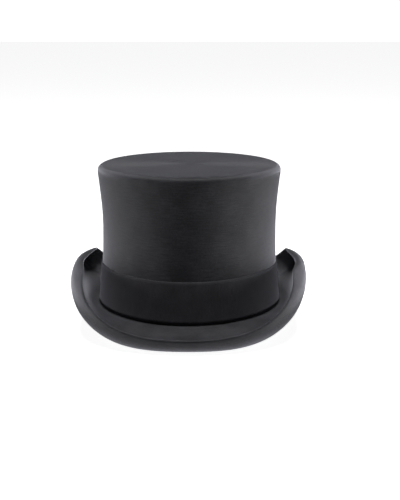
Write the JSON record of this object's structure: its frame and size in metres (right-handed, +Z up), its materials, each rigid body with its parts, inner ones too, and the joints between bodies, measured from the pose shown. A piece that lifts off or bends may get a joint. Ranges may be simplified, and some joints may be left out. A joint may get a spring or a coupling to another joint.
{
  "type": "top hat",
  "caption": "Stiff felt top hat: oval flared crown with a flat tip, ribbon band and side bow, curled dipped brim, leather sweatband and satin lining.",
  "frame": {"origin": "on the floor under the middle of the crown, the hat standing on its brim", "axes": "+Z up to the tip, -Y towards the wearer's front, +X to the wearer's left"},
  "size_m": [0.2316, 0.3275, 0.1554],
  "materials": {
    "wool_felt": "charcoal-black wool felt, brushed, soft sheen",
    "grosgrain": "black ribbed grosgrain ribbon",
    "black_thread": "black sewing thread",
    "brown_leather": "tan-brown roan leather, semi-gloss",
    "tan_thread": "tan sewing thread",
    "reed_plastic": "natural plastic reed",
    "oilcloth": "coated black cotton tape",
    "satin": "ivory satin lining",
    "satin_ribbon": "black satin ribbon",
    "clear_film": "clear flexible film",
    "paper": "uncoated paper, blank"
  },
  "bodies": {
    "root": {"felt_body": "wool_felt", "hat_band": "grosgrain", "band_tacks": "black_thread", "bow_loops": "grosgrain", "bow_knot": "grosgrain", "sweatband": "brown_leather", "sweatband_stitches": "tan_thread", "sweatband_join_stitches": "tan_thread", "sweatband_rear_bow": "satin_ribbon", "reed": "reed_plastic", "reed_tape": "oilcloth", "side_lining": "satin", "tip_lining": "satin", "lining_piping": "satin", "tip_window": "clear_film", "size_ticket": "paper"}
  },
  "joints": []
}
